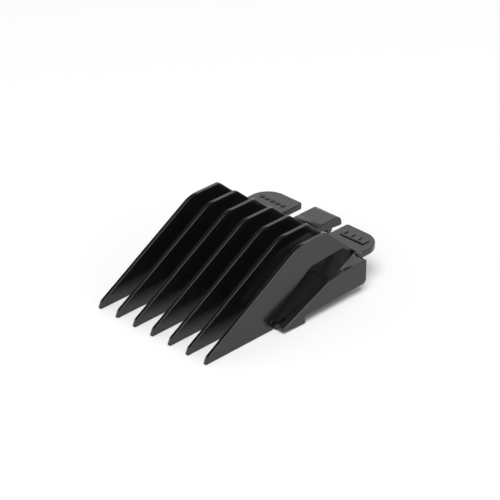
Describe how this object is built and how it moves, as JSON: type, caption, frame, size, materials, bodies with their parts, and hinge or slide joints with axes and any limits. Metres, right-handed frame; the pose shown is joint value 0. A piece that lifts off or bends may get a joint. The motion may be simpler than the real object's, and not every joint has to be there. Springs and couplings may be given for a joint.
{
  "type": "clipper guard comb",
  "caption": "Moulded guide comb that clips over a hair clipper's blade with a sprung rear latch and holds the blade a set height off the scalp.",
  "frame": {"origin": "middle of the overall length and width, in the plane of the tooth tips and front feet", "axes": "+X across the teeth, +Y from the tooth tips to the thumb tabs, +Z away from the blade towards the scalp side"},
  "size_m": [0.0512, 0.072, 0.0223],
  "materials": {
    "comb_plastic": "semi-gloss black moulded plastic",
    "latch_plastic": "semi-gloss black moulded plastic"
  },
  "bodies": {
    "comb": {"tooth_1": "comb_plastic", "tooth_2": "comb_plastic", "tooth_3": "comb_plastic", "tooth_4": "comb_plastic", "tooth_5": "comb_plastic", "tooth_6": "comb_plastic", "tooth_7": "comb_plastic", "deck_flat": "comb_plastic", "deck_ramp": "comb_plastic", "rear_bar": "comb_plastic", "rail_right": "comb_plastic", "rail_left": "comb_plastic", "foot_right": "comb_plastic", "foot_left": "comb_plastic", "tab_right": "comb_plastic", "tab_left": "comb_plastic", "size_pip_1": "comb_plastic", "size_pip_2": "comb_plastic", "size_pip_3": "comb_plastic", "size_pip_4": "comb_plastic", "size_pip_5": "comb_plastic", "length_scale": "comb_plastic"},
    "latch": {"latch_tongue": "latch_plastic", "latch_lip": "latch_plastic", "latch_catch": "latch_plastic"}
  },
  "joints": [
    {"name": "latch_flex", "type": "hinge", "parent": "comb", "child": "latch", "pos_m": [0, 0.02424, 0.0104], "axis": [1, 0, 0], "range_deg": [0, 8], "stiffness_Nm_per_rad": 0.5}
  ]
}
